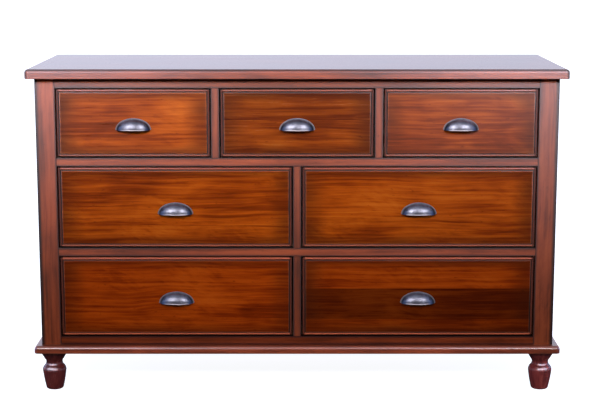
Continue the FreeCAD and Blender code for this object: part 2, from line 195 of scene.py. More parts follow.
def blankFinish(name):
    finish = bpy.data.materials.new(name)
    finish.use_nodes = True
    tree = finish.node_tree
    return finish, tree, tree.nodes["Principled BSDF"]


def feed(tree, socket, value):
    if isinstance(value, bpy.types.NodeSocket):
        tree.links.new(value, socket)
    else:
        socket.default_value = value


def sums(tree, operation, first, second=0.0, third=0.0):
    node = tree.nodes.new("ShaderNodeMath")
    node.operation = operation
    for socket, value in zip(node.inputs, (first, second, third)):
        feed(tree, socket, value)
    return node.outputs[0]


def vectorSums(tree, operation, *values):
    node = tree.nodes.new("ShaderNodeVectorMath")
    node.operation = operation
    for socket, value in zip(node.inputs, values):
        feed(tree, socket, value)
    return node.outputs[0]


def spread(tree, value, low, high, toLow=0.0, toHigh=1.0):
    node = tree.nodes.new("ShaderNodeMapRange")
    node.interpolation_type = "SMOOTHSTEP"
    for key, number in (("Value", value), ("From Min", low), ("From Max", high),
                        ("To Min", toLow), ("To Max", toHigh)):
        feed(tree, node.inputs[key], number)
    return node.outputs["Result"]


def towards(tree, share, first, second):
    return sums(tree, "MULTIPLY_ADD", share, sums(tree, "SUBTRACT", second, first), first)


def blendColour(tree, share, first, second, mode="MIX"):
    node = tree.nodes.new("ShaderNodeMix")
    node.data_type = "RGBA"
    node.blend_type = mode
    feed(tree, node.inputs[0], share)
    for socket, value in ((node.inputs[6], first), (node.inputs[7], second)):
        feed(tree, socket, value if isinstance(value, bpy.types.NodeSocket) else (*value, 1))
    return node.outputs[2]


def toned(tree, colour, tone):
    # the colour made lighter or darker
    node = tree.nodes.new("ShaderNodeCombineColor")
    for socket in node.inputs:
        feed(tree, socket, tone)
    return blendColour(tree, 1.0, colour, node.outputs[0], "MULTIPLY")


def shadeRamp(tree, value, stops):
    node = tree.nodes.new("ShaderNodeValToRGB")
    points = node.color_ramp.elements
    while len(points) < len(stops):
        points.new(0.5)
    for point, (place, colour) in zip(points, stops):
        point.position = place
        point.color = (*colour, 1)
    feed(tree, node.inputs[0], value)
    return node.outputs[0]


def objectPoint(tree):
    return tree.nodes.new("ShaderNodeTexCoord").outputs["Object"]


def placed(tree, vector, centre=(0, 0, 0), turn=(0, 0, 0)):
    node = tree.nodes.new("ShaderNodeMapping")
    node.vector_type = "TEXTURE"
    node.inputs["Location"].default_value = centre
    node.inputs["Rotation"].default_value = turn
    feed(tree, node.inputs["Vector"], vector)
    return node.outputs[0]


def parted(tree, vector):
    node = tree.nodes.new("ShaderNodeSeparateXYZ")
    feed(tree, node.inputs[0], vector)
    return node.outputs


# every layer of noise is given as: scale along the grain, scale across it, detail, roughness, twist
def noiseNode(tree, vector, seed, along, across, detail, rough, twist):
    scale = tree.nodes.new("ShaderNodeMapping")
    scale.inputs["Scale"].default_value = (along, across, across)
    feed(tree, scale.inputs["Vector"], vector)
    node = tree.nodes.new("ShaderNodeTexNoise")
    node.noise_dimensions = "4D"
    for key, value in (("Vector", scale.outputs[0]), ("W", seed), ("Scale", 1.0), ("Detail", detail),
                       ("Roughness", rough), ("Distortion", twist)):
        feed(tree, node.inputs[key], value)
    return node


def grainNoise(tree, vector, seed, layer):
    return noiseNode(tree, vector, seed, *layer).outputs[0]


def swayed(tree, vector, seed, layer, sway):
    # lets the grain wander sideways
    noise = noiseNode(tree, vector, seed, *layer)
    offset = vectorSums(tree, "SUBTRACT", noise.outputs["Color"], (0.5, 0.5, 0.5))
    return vectorSums(tree, "MULTIPLY_ADD", offset, (0.0, sway, sway), vector)


def bumped(tree, shader, height, strength, distance):
    node = tree.nodes.new("ShaderNodeBump")
    node.inputs["Strength"].default_value = strength
    node.inputs["Distance"].default_value = distance
    feed(tree, node.inputs["Height"], height)
    feed(tree, shader.inputs["Normal"], node.outputs[0])


# stained wood, for all the wood that shows from outside
grainTurn = {"x": (0, 0, 0), "y": (0, 0, math.pi / 2), "z": (0, -math.pi / 2, 0)}

cherryStain = {
    "dark": (0.085, 0.0107, 0.0005),
    "deep": (0.210, 0.0290, 0.0010),
    "amber": (0.365, 0.0640, 0.0025),
    "bright": (0.500, 0.1130, 0.0080),
}

frameStain = {
    "dark": (0.073, 0.0113, 0.0030),
    "deep": (0.170, 0.0275, 0.0070),
    "amber": (0.275, 0.0455, 0.0115),
    "bright": (0.370, 0.0680, 0.0170),
}

# a range says where an effect starts and where it is full
stainGrain = {
    "wave": (4.5, 8, 2, 0.5, 0), "sway": 0.020,
    "figure": (2.2, 24, 4, 0.6, 0.4), "figureWeight": 0.24,
    "streaks": (3.4, 130, 4, 0.6, 0.2), "streakWeight": 0.42,
    "cloud": (5, 11, 2, 0.5, 0.6), "cloudWeight": 0.32,
    "feather": (9, 70, 3, 0.6, 0.5), "featherWeight": 0.20, "featherTurn": (0, 0.30, 0.30),
    "patch": (6, 9, 1, 0.5, 0), "patchRange": (0.47, 0.66),
    "fleck": (70, 190, 1, 0.5, 0), "fleckRange": (0.68, 0.76),
    "pores": (36, 820, 2, 0.6, 0), "poreRange": (0.60, 0.72), "speckShare": 0.40,
    "shadeRange": (0.29, 0.69), "stops": (0.0, 0.30, 0.60, 1.0), "boardSeed": 3.7,
}

stainSheen = {
    "ior": 1.34, "tint": (1.0, 0.90, 0.66), "rimSoft": 0.0008,
    "streakRough": 0.06, "streakMiddle": 0.04, "poreRough": 0.03,
    "bumpStrength": 0.10, "bumpDistance": 0.0003, "poreBump": -0.5,
}

# bands along the edges, glaze and painted shade: place in from the edge, half width, softness (metres),
# share, colour
# glaze colours, also used to paint shade and a dark reflection along edges, gaps and the quirk
darkGlazeAndShade = (0.010, 0.0035, 0.0025)
mauveGlazeAndShade = (0.030, 0.0090, 0.0100)
plainEdges = [(0.0, 0.0006, 0.0016, 0.45, darkGlazeAndShade)]
bandWander = 0.0002


def gluedBoards(tree, across, boards, seed):
    # boards are (where it starts, tone), each with its own grain; the first starts at the edge
    tone = boards[0][1]
    for (_, lastTone), (start, nextTone) in zip(boards, boards[1:]):
        past = sums(tree, "GREATER_THAN", across, start)
        tone = sums(tree, "MULTIPLY_ADD", past, nextTone - lastTone, tone)
        seed = sums(tree, "MULTIPLY_ADD", past, stainGrain["boardSeed"], seed)
    return tone, seed


def stainFigure(tree, along, seed, stain):
    # wandering figure, finer streaks, feathered patches, clouds, flecks and open pores
    g = stainGrain
    wave = swayed(tree, along, seed, g["wave"], g["sway"])
    figure = grainNoise(tree, wave, seed, g["figure"])
    streaks = grainNoise(tree, wave, seed, g["streaks"])
    cloud = grainNoise(tree, along, seed, g["cloud"])
    feather = grainNoise(tree, placed(tree, wave, turn=g["featherTurn"]), seed, g["feather"])
    patch = spread(tree, grainNoise(tree, along, seed, g["patch"]), *g["patchRange"])
    fleck = grainNoise(tree, wave, seed, g["fleck"])
    pores = grainNoise(tree, wave, seed, g["pores"])
    feathered = sums(tree, "MULTIPLY", patch, sums(tree, "SUBTRACT", feather, 0.5))
    shade = sums(tree, "MULTIPLY", figure, g["figureWeight"])
    shade = sums(tree, "MULTIPLY_ADD", streaks, g["streakWeight"], shade)
    shade = sums(tree, "MULTIPLY_ADD", cloud, g["cloudWeight"], shade)
    shade = sums(tree, "MULTIPLY_ADD", feathered, g["featherWeight"], shade)
    colour = shadeRamp(tree, spread(tree, shade, *g["shadeRange"]), list(zip(g["stops"], stain.values())))
    for specks, (low, high) in ((fleck, g["fleckRange"]), (pores, g["poreRange"])):
        speckled = spread(tree, specks, low, high, 0.0, g["speckShare"])
        colour = blendColour(tree, speckled, colour, stain["dark"])
    return colour, streaks, cloud, pores


def burntIn(tree, colour, burn, reach, inward, cloud):
    # glaze rubbed in unevenly towards the ends and edges of a field
    clear = 1.0
    for axis, depth in burn["depths"].items():
        clear = sums(tree, "MULTIPLY", clear, spread(tree, reach[axis], burn["start"], depth))
    uneven = sums(tree, "MULTIPLY_ADD", cloud, burn["uneven"], burn["share"] - burn["uneven"] / 2)
    uneven = sums(tree, "MULTIPLY", uneven, sums(tree, "GREATER_THAN", inward, burn["start"]))
    burnt = sums(tree, "MULTIPLY", sums(tree, "SUBTRACT", 1.0, clear), uneven)
    return blendColour(tree, sums(tree, "MAXIMUM", burnt, 0.0), colour, burn["colour"])


def stainedWood(place, box, look):
    # look: grain, stain, boards, seed, rough, edgeAxes and edges; and where wanted boardAxis, a darkening
    # towards the bottom, cast, burn, flatShade, bead, outerShade, rimRough, ior and tint; the darkening
    # towards the bottom, flatShade, outerShade and the bead's side colour are painted shade
    finish, tree, shader = blankFinish("cherry stain on the " + place.replace("_", " "))
    low, high = box
    middle, half = (low + high) / 2, (high - low) / 2
    point = objectPoint(tree)
    apart = parted(tree, placed(tree, point, middle))
    along = placed(tree, point, middle, grainTurn[look["grain"]])
    tone, seed = gluedBoards(tree, apart[look.get("boardAxis", 2)], look["boards"], look["seed"])
    # painted shade: the colour darker towards the bottom
    if "fade" in look:
        tone = sums(tree, "MULTIPLY", tone, spread(tree, apart[2], -half.z, half.z, *look["fade"]))
    colour, streaks, cloud, pores = stainFigure(tree, along, seed, look["stain"])
    colour = toned(tree, colour, tone)
    if "cast" in look:
        colour = blendColour(tree, 1.0, colour, look["cast"], "MULTIPLY")

    # how far each point lies in from the edges, and from the nearest one
    reach = {axis: sums(tree, "SUBTRACT", half[axis], sums(tree, "ABSOLUTE", apart[axis]))
             for axis in look["edgeAxes"]}
    inward, *others = reach.values()
    for other in others:
        inward = sums(tree, "MINIMUM", inward, other)

    # sheen, duller towards the rims
    rough = sums(tree, "MULTIPLY_ADD", streaks, stainSheen["streakRough"],
                 look["rough"] - stainSheen["streakMiddle"])
    for depth, rimRough in look.get("rimRough", []):
        onRim = spread(tree, inward, depth, depth + stainSheen["rimSoft"], 1.0, 0.0)
        rough = towards(tree, onRim, rough, rimRough)

    # glaze burnt in; a darker flat (painted shade); the bead's colour, with painted shade on its upright
    # sides; outer corners darker (painted shade); then bands along the edges, glaze and painted shade
    if "burn" in look:
        colour = burntIn(tree, colour, look["burn"], reach, inward, cloud)
    # painted shade: darker past the rim
    if "flatShade" in look:
        shade = look["flatShade"]
        colour = toned(tree, colour, spread(tree, inward, shade["start"], shade["end"], 1.0, shade["tone"]))
    if "bead" in look:
        bead = look["bead"]
        edge = (bead["width"] - bead["soft"], bead["width"] + bead["soft"], 1.0, 0.0)
        # painted shade on the bead's upright sides
        onSide = spread(tree, reach[0], *edge)
        colour = blendColour(tree, spread(tree, inward, *edge), colour, bead["colour"])
        colour = blendColour(tree, onSide, colour, bead["sideColour"])
        rough = towards(tree, onSide, rough, bead["sideRough"])
    onFront = 1.0
    # painted shade: the outer corners of the stiles darker
    if "outerShade" in look:
        corner = look["outerShade"]
        onFront = spread(tree, sums(tree, "ADD", apart[1], half.y), *corner["depth"], 1.0, 0.0)
        outward = sums(tree, "SUBTRACT", half.x, sums(tree, "MULTIPLY", apart[0], corner["side"]))
        shaded = spread(tree, outward, *corner["width"], corner["share"], 0.0)
        colour = blendColour(tree, sums(tree, "MULTIPLY", shaded, onFront), colour, darkGlazeAndShade)
    # bands along the edges: glaze, and painted shade in the gaps, the quirk and on the top's round
    wander = sums(tree, "MULTIPLY_ADD", sums(tree, "SUBTRACT", streaks, 0.5), bandWander, inward)
    for inset, width, soft, share, bandColour in look["edges"]:
        off = sums(tree, "ABSOLUTE", sums(tree, "SUBTRACT", wander, inset))
        banded = spread(tree, off, width, width + soft, share, 0.0)
        colour = blendColour(tree, sums(tree, "MULTIPLY", banded, onFront), colour, bandColour)

    feed(tree, shader.inputs["Base Color"], colour)
    feed(tree, shader.inputs["Roughness"], sums(tree, "MULTIPLY_ADD", pores, stainSheen["poreRough"], rough))
    bumped(tree, shader, sums(tree, "MULTIPLY_ADD", pores, stainSheen["poreBump"], streaks),
           stainSheen["bumpStrength"], stainSheen["bumpDistance"])
    shader.inputs["IOR"].default_value = look.get("ior", stainSheen["ior"])
    shader.inputs["Specular Tint"].default_value = (*look.get("tint", stainSheen["tint"]), 1)
    return finish


# top: one slab with rounded corners, a full round above and a small one below
topPanel = {
    "cornerRadius": 0.012, "upperRound": 0.010, "lowerRound": 0.0018, "steps": 8, "lowerSteps": 4,
    "look": {
        "grain": "x", "stain": frameStain, "seed": 1.3, "rough": 0.19, "tint": (1.0, 1.0, 0.78),
        "boards": [(None, 1.22), (-0.165, 1.30), (-0.048, 1.25), (0.071, 1.33), (0.182, 1.22)],
        "boardAxis": 1, "edgeAxes": (0, 1), "rimRough": [(0.0064, 0.74), (0.0004, 0.60)],
        # painted shade: the flat of the top darker than its rims; the bands on the upper round paint a dark
        # reflection
        "flatShade": {"start": 0.0092, "end": 0.0102, "tone": 0.36},
        "edges": [(0.0028, 0.0016, 0.0016, 0.45, mauveGlazeAndShade), (0.0050, 0.0022, 0.0014, 0.80, darkGlazeAndShade)],
    },
}

low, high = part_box("top_panel")
top = board("top_slab", low, high)
roundEdges(top, upright, topPanel["cornerRadius"], topPanel["steps"])
roundEdges(top, lambda c: flat(c, 2, high.z), topPanel["upperRound"], topPanel["steps"])
roundEdges(top, lambda c: flat(c, 2, low.z), topPanel["lowerRound"], topPanel["lowerSteps"])
fit(top, "case", "stained_wood", "top_panel")
dress(top, stainedWood("top", (low, high), topPanel["look"]))
print("top made")


# base moulding: one rounded slab shape, cut on the mitres into front, left and right lengths
baseMoulding = {
    "cornerRadius": 0.012, "edgeRound": 0.010, "steps": 8, "lowerRound": 0.0015, "lowerSteps": 3,
    "width": 0.095,
    "look": {
        "stain": frameStain, "boards": [(None, 1.30)], "rough": 0.28, "ior": 2.30, "tint": (1.0, 0.94, 0.88),
        "edgeAxes": (2,), "edges": plainEdges,
    },
    "front": {"grain": "x", "seed": 4.1},
    "left": {"grain": "y", "seed": 5.2},
    "right": {"grain": "y", "seed": 6.4},
}

baseLow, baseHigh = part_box("base_front_moulding")
baseHigh.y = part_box("base_left_moulding")[1].y


def mouldedSlab(name):
    m = baseMoulding
    piece = board(name, baseLow, baseHigh)
    roundEdges(piece, lambda c: upright(c) and flat(c, 1, baseLow.y), m["cornerRadius"], m["steps"])
    for height, radius, steps in ((baseHigh.z, m["edgeRound"], m["steps"]),
                                  (baseLow.z, m["lowerRound"], m["lowerSteps"])):
        roundEdges(piece, lambda c: flat(c, 2, height) and not flat(c, 1, baseHigh.y), radius, steps)
    return piece


inner = baseMoulding["width"]
leftMitre = (baseLow.x, baseLow.y, 0)
rightMitre = (baseHigh.x, baseLow.y, 0)
baseCuts = {
    "front": [((0, baseLow.y + inner, 0), (0, 1, 0)), (leftMitre, (-1, 1, 0)), (rightMitre, (1, 1, 0))],
    "left": [((baseLow.x + inner, 0, 0), (1, 0, 0)), (leftMitre, (1, -1, 0))],
    "right": [((baseHigh.x - inner, 0, 0), (-1, 0, 0)), (rightMitre, (-1, -1, 0))],
}
for side, cuts in baseCuts.items():
    node = "base_" + side + "_moulding"
    piece = mouldedSlab("base_moulding_" + side)
    for point, normal in cuts:
        cutAway(piece, point, normal)
    cleanMesh(piece)
    fit(piece, "case", "stained_wood", node)
    dress(piece, stainedWood(node, (baseLow, baseHigh), baseMoulding["look"] | baseMoulding[side]))
print("base moulding made")


# face frame: stiles and rails with eased edges, the stiles rounder on their outer corners
faceFrame = {
    "easedEdge": 0.0012, "steps": 4, "outerCorner": 0.004, "cornerSteps": 6, "cornerClear": 0.006,
    "shortEdge": 0.02, "railClear": 0.0001,
    "look": {
        "stain": frameStain, "rough": 0.60,
        # bands along the edges: glaze, and painted shade darkening the gaps between the parts
        "edges": [(0.0, 0.0018, 0.0055, 0.76, mauveGlazeAndShade), (0.0, 0.0008, 0.0012, 0.92, darkGlazeAndShade)],
    },
    "standing": {"grain": "z", "edgeAxes": (0,)},
    "lying": {"grain": "x", "edgeAxes": (2,)},
    # painted shade: the stiles darker towards the bottom
    "stileShadeDownwards": (0.66, 1.06),
    # painted shade on the outer corners of the stiles
    "outerShade": {"width": (0.0050, 0.0140), "depth": (0.004, 0.008), "share": 0.92},
}
# tones, partly painted shade: the lower members and the top rail under the top made darker
memberLook = {
    "left_stile": {"seed": 2.2, "boards": [(None, 1.30)]},
    "right_stile": {"seed": 3.6, "boards": [(None, 1.02)]},
    "top_rail": {"seed": 5.9, "boards": [(None, 0.72)]},
    "upper_rail": {"seed": 7.4, "boards": [(None, 1.18)]},
    "lower_rail": {"seed": 8.8, "boards": [(None, 0.96)]},
    "bottom_rail": {"seed": 9.5, "boards": [(None, 0.64)], "ior": 1.16},
    "upper_left_muntin": {"seed": 11.1, "boards": [(None, 1.05)]},
    "upper_right_muntin": {"seed": 12.7, "boards": [(None, 0.95)]},
    "middle_muntin": {"seed": 14.2, "boards": [(None, 0.80)]},
    "lower_muntin": {"seed": 15.8, "boards": [(None, 0.70)]},
}
# each muntin with the rail below it and the rail above
muntins = {"upper_left_muntin": ("upper_rail", "top_rail"), "upper_right_muntin": ("upper_rail", "top_rail"),
           "middle_muntin": ("lower_rail", "upper_rail"), "lower_muntin": ("bottom_rail", "lower_rail")}

# rails end at the stiles and muntins at the rails, without the tenons
members = {name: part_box(name) for name in memberLook}
for name, (low, high) in members.items():
    if name.endswith("rail"):
        low.x, high.x = members["left_stile"][1].x, members["right_stile"][0].x
        if name != "top_rail":
            high.z -= faceFrame["railClear"]
for name, (below, above) in muntins.items():
    low, high = members[name]
    low.z, high.z = members[below][1].z, members[above][0].z

for name, (low, high) in members.items():
    standing = not name.endswith("rail")
    lengthwise = 2 if standing else 0
    look = faceFrame["look"] | memberLook[name] | faceFrame["standing" if standing else "lying"]
    piece = board(name.replace("left_stile", "stile_left").replace("right_stile", "stile_right") + "_board",
                  low, high)
    outer = {"left_stile": low.x, "right_stile": high.x}.get(name)
    if outer is not None:
        roundEdges(piece, lambda c: upright(c) and flat(c, 0, outer) and flat(c, 1, low.y),
                   faceFrame["outerCorner"], faceFrame["cornerSteps"])
        look["fade"] = faceFrame["stileShadeDownwards"]
        look["outerShade"] = faceFrame["outerShade"] | {"side": math.copysign(1.0, outer)}
    roundEdges(piece, lambda c: flat(c, 1, low.y) and not level(c, lengthwise, faceFrame["shortEdge"])
               and not (outer is not None and abs(c[0].x - outer) < faceFrame["cornerClear"]),
               faceFrame["easedEdge"], faceFrame["steps"])
    fit(piece, "case", "stained_wood", name)
    dress(piece, stainedWood(name, (low, high), look))
print("face frame made:", len(members), "members")


# feet: half profile drawn from points, then spun
turnedFoot = {
    "toeRadius": 0.0253, "toeRound": 0.006, "taperBulge": 0.0009, "shoulderRadius": 0.034,
    "shoulderHeight": 0.0565, "shoulderRound": 0.020, "neckRadius": 0.0236, "neckHeight": 0.0805,
    "flareRound": 0.0157, "flareHeight": 0.089, "fillet": 0.0007, "collarRadius": 0.0375,
    "collarThickness": 0.009, "collarEase": 0.0012, "collarTuck": 0.6, "steps": 72,
    "toeSteps": 8, "taperSteps": 16, "shoulderSteps": 10, "neckSteps": 8, "flareSteps": 6,
    "tones": {"front_left_foot": 0.58, "front_right_foot": 1.15,
              "rear_left_foot": 0.60, "rear_right_foot": 0.64},
    "seed": 20, "seedStep": 3.3,
    "look": {
        "grain": "z", "rough": 0.26, "ior": 1.42, "edgeAxes": (2,), "edges": plainEdges,
        "stain": {"dark": (0.060, 0.0095, 0.0085), "deep": (0.150, 0.0230, 0.0200),
                  "amber": (0.235, 0.0370, 0.0300), "bright": (0.310, 0.0540, 0.0400)},
    },
}


def arcPoints(centre, radius, start, stop, steps):
    turns = [math.radians(start + (stop - start) * i / steps) for i in range(steps + 1)]
    return [(centre[0] + radius * math.cos(t), centre[1] + radius * math.sin(t)) for t in turns]


def footProfile(height):
    f = turnedFoot
    toe = arcPoints((f["toeRadius"] - f["toeRound"], f["toeRound"]), f["toeRound"], -90, 0, f["toeSteps"])
    taper = []
    for i in range(1, f["taperSteps"]):
        share = i / f["taperSteps"]
        radius = f["toeRadius"] + (f["shoulderRadius"] - f["toeRadius"]) * share
        bulge = 4 * f["taperBulge"] * share * (1 - share)
        taper.append((radius + bulge, f["toeRound"] + (f["shoulderHeight"] - f["toeRound"]) * share))
    # the neck's hollow starts where it meets the shoulder's round
    crown = Vector((f["shoulderRadius"] - f["shoulderRound"], f["shoulderHeight"]))
    across, up = f["neckRadius"] - crown.x, f["neckHeight"] - crown.y
    hollow = (across ** 2 + up ** 2 - f["shoulderRound"] ** 2) / (2 * (f["shoulderRound"] - across))
    dip = Vector((f["neckRadius"] + hollow, f["neckHeight"]))
    swing = math.degrees(math.atan2(dip.y - crown.y, dip.x - crown.x))
    shoulder = arcPoints(crown, f["shoulderRound"], 0, swing, f["shoulderSteps"])
    neck = arcPoints(dip, hollow, 180 + swing, 180, f["neckSteps"])[1:]
    lift = math.degrees(math.asin((f["flareHeight"] - f["neckHeight"]) / f["flareRound"]))
    flare = arcPoints((f["neckRadius"] + f["flareRound"], f["neckHeight"]), f["flareRound"], 180, 180 - lift,
                      f["flareSteps"])[1:]
    step = (flare[-1][0] + f["fillet"], f["flareHeight"])
    wide, ease, under = f["collarRadius"], f["collarEase"], height - f["collarThickness"]
    collar = [(wide - ease * f["collarTuck"], under - ease), (wide, under + ease * (1 - f["collarTuck"])),
              (wide, height - ease), (wide - ease, height)]
    return [(0, 0)] + toe + taper + shoulder + neck + flare + [step] + collar + [(0, height)]


def spunFoot(name, height):
    # a plane merged to one point is drawn out along the profile
    letGo()
    bpy.ops.mesh.primitive_plane_add(size=0.01, location=(0, 0, 0))
    piece = named(name)
    editMode()
    bpy.ops.mesh.select_mode(type="VERT")
    selectAll()
    bpy.ops.mesh.merge(type="CENTER")
    profile = footProfile(height)
    for (r0, z0), (r1, z1) in zip(profile, profile[1:]):
        bpy.ops.mesh.extrude_vertices_move(TRANSFORM_OT_translate={"value": (r1 - r0, 0, z1 - z0)})
    selectAll()
    bpy.ops.mesh.spin(steps=turnedFoot["steps"], angle=2 * math.pi, center=(0, 0, 0), axis=(0, 0, 1))
    objectMode()
    cleanMesh(piece, 1e-5)
    return piece


firstFoot = spunFoot("first_foot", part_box("front_left_foot")[1].z)
for node, tone in turnedFoot["tones"].items():
    low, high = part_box(node)
    piece = copyOf(firstFoot, "turned_" + node, ((low.x + high.x) / 2, (low.y + high.y) / 2, 0))
    fit(piece, "case", "stained_wood", node)
    seed = turnedFoot["seed"] + turnedFoot["seedStep"] * tone
    look = turnedFoot["look"] | {"boards": [(None, tone)], "seed": seed}
    dress(piece, stainedWood(node, (low, high), look))
bpy.data.objects.remove(firstFoot)
print("feet made")


# drawer fronts: cock bead, quirk and raised field by insets, dovetail sockets in the ends
drawerFront = {
    "beadRadius": 0.0032, "beadDrop": 0.0004, "quirk": 0.0020, "fieldRound": 0.0018, "fieldDraft": 0.00005,
    "turnStep": 15, "seed": 31, "seedStep": 4.3,
    "look": {"grain": "x", "stain": cherryStain, "edgeAxes": (0, 2)},
    # painted shade: the bead's upright sides darker than its top and bottom
    "bead": {"soft": 0.0004, "sideColour": (0.095, 0.0160, 0.0070), "sideRough": 0.95},
    "burn": {"depths": {0: 0.085, 2: 0.040}, "share": 0.55, "uneven": 1.5,
             "colour": (0.045, 0.0075, 0.0020)},
    "fieldRough": 0.62, "beadRough": 0.58,
    # painted shade in the quirk
    "quirkPlace": 0.0010, "quirkPaintedShade": (0.0014, 0.0006, 0.95, darkGlazeAndShade),
}

drawerLook = {
    "upper_left_drawer": {"rough": 0.28, "boards": [(None, 1.26)]},
    "upper_centre_drawer": {"rough": 0.26, "boards": [(None, 0.75), (0.009, 0.66)]},
    "upper_right_drawer": {"rough": 0.33, "boards": [(None, 1.08)]},
    "middle_left_drawer": {"rough": 0.22, "boards": [(None, 0.96), (-0.052, 1.04)]},
    "middle_right_drawer": {"rough": 0.22, "boards": [(None, 0.90), (-0.028, 0.98)]},
    "lower_left_drawer": {"rough": 0.20, "boards": [(None, 0.82), (-0.063, 0.86)]},
    "lower_right_drawer": {"rough": 0.20, "boards": [(None, 0.56), (-0.067, 0.33), (0.0235, 0.75)]},
}
# beads lighter on the lower rows: painted highlight
rowLook = {
    "upper": {"cast": (1.0, 1.0, 1.0), "bead": (0.250, 0.0480, 0.0185)},
    "middle": {"cast": (1.0, 0.96, 0.90), "bead": (0.300, 0.0580, 0.0220)},
    "lower": {"cast": (0.95, 0.69, 0.60), "bead": (0.420, 0.0820, 0.0310)},
}


def frontProfile():
    # steps of (inwards, outwards) from the front's outer edge to its field
    f = drawerFront
    turns = {t: math.radians(t) for t in range(0, 181, f["turnStep"])}
    bead = [(f["beadRadius"] * (1 - math.cos(t)), f["beadRadius"] * math.sin(t)) for t in turns.values()]
    quirkEnd = bead[-1][0] + f["quirk"]
    deep = f["beadRadius"] + f["beadDrop"]
    wall = (quirkEnd + f["fieldDraft"], deep - f["fieldRound"])
    field = [(quirkEnd + f["fieldRound"] * (1 - math.cos(turn)),
              deep - f["fieldRound"] * (1 - math.sin(turn))) for t, turn in turns.items() if 0 < t <= 90]
    points = bead + [(quirkEnd, 0.0), wall] + field
    return [(b[0] - a[0], b[1] - a[1]) for a, b in zip(points, points[1:])]


# sockets for the box's tails, and the groove its bottom slides into
dovetail = {"length": 0.013, "pitch": 0.046, "slope": 1 / 7, "share": 0.5, "side": 0.012, "startUp": 0.0035,
            "clear": 0.001, "grooveUp": 0.010, "grooveHeight": 0.006, "grooveDepth": 0.006}


def tailCutter(low, high, box):
    d = dovetail
    start, stop = box[0].z + d["startUp"], box[1].z
    count = round((stop - start) / d["pitch"])
    pitch = (stop - start) / count
    half = pitch * d["share"] / 2
    middle = start + pitch / 2
    end = high.y - d["length"]
    tails = board("tail_cutter", Vector((low.x - d["clear"], end, middle - half)),
                  Vector((low.x + d["side"], high.y, middle + half)))
    # flared towards its end, drawn out behind, then repeated up the side and on the other side
    pick(tails, "FACE", lambda c: flat(c, 1, end))
    bpy.ops.transform.resize(value=(1, 1, 1 + d["length"] * d["slope"] / half),
                             center_override=(0, 0, middle))
    objectMode()
    pick(tails, "FACE", lambda c: flat(c, 1, high.y))
    bpy.ops.mesh.extrude_region_move(TRANSFORM_OT_translate={"value": (0, d["clear"], 0)})
    objectMode()
    applyModifier(tails, "ARRAY", count=count, use_relative_offset=False, use_constant_offset=True,
                  constant_offset_displace=(0, 0, pitch))
    openWhole(tails)
    bpy.ops.mesh.duplicate_move(TRANSFORM_OT_translate={
        "value": (high.x - low.x - d["side"] + d["clear"], 0, 0)})
    objectMode()
    return tails


def grooveCutter(low, high, box):
    d = dovetail
    inset = d["side"] - d["grooveDepth"]
    up = box[0].z + d["grooveUp"]
    return board("groove_cutter", Vector((low.x + inset, high.y - d["grooveDepth"], up)),
                 Vector((high.x - inset, high.y + d["clear"], up + d["grooveHeight"])))


def makeFront(name, low, high, box):
    f = drawerFront
    blank = Vector((low.x, low.y + f["beadRadius"] + f["beadDrop"], low.z))
    piece = board(name, blank, high)
    pick(piece, "FACE", lambda c: flat(c, 1, blank.y))
    for inwards, outwards in frontProfile():
        bpy.ops.mesh.inset(thickness=inwards, depth=outwards, use_even_offset=True)
    objectMode()
    for cutter in (tailCutter(low, high, box), grooveCutter(low, high, box)):
        applyModifier(piece, "BOOLEAN", operation="DIFFERENCE", solver="EXACT", object=cutter)
        bpy.data.objects.remove(cutter)
    return piece


def frontLook(drawer, seed):
    f = drawerFront
    row = rowLook[drawer.split("_")[0]]
    beadEnd = 2 * f["beadRadius"]
    fieldStart = beadEnd + f["quirk"] + f["fieldRound"]
    return f["look"] | drawerLook[drawer] | {
        "seed": seed, "cast": row["cast"],
        "bead": f["bead"] | {"width": beadEnd, "colour": row["bead"]},
        "burn": f["burn"] | {"start": fieldStart},
        "rimRough": [(fieldStart, f["fieldRough"]), (beadEnd, f["beadRough"])],
        "edges": [(beadEnd + f["quirk"] - f["quirkPlace"], *f["quirkPaintedShade"])],
    }


for number, drawer in enumerate(drawers):
    node = drawer + "_front"
    low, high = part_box(node)
    piece = makeFront(drawer + "_face", low, high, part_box(drawer + "_box"))
    fit(piece, drawer, "stained_wood", node, angle=40)
    look = frontLook(drawer, drawerFront["seed"] + drawerFront["seedStep"] * number)
    dress(piece, stainedWood(drawer, (low, high), look))
print("drawer fronts made:", len(drawers))


# cup pulls: a quarter dome with a flange at its back and a lip at its open edge
cupPull = {
    "width": 0.102, "height": 0.0342, "reach": 0.0225, "flange": 0.004, "wall": 0.002, "lip": 0.0012,
    "lipStep": 0.25, "lipHeight": 0.0026, "cornerRound": 0.0045, "cornerSteps": 8,
    "postRadius": 0.0045, "postSpacing": 0.064, "postHeight": 0.012, "postSteps": 32,
    "segments": 80, "rings": 48, "backSlack": 1.12,
}


def widen(across, out, up):
    bpy.ops.transform.resize(value=(across, out, up), center_override=(0, 0, 0))


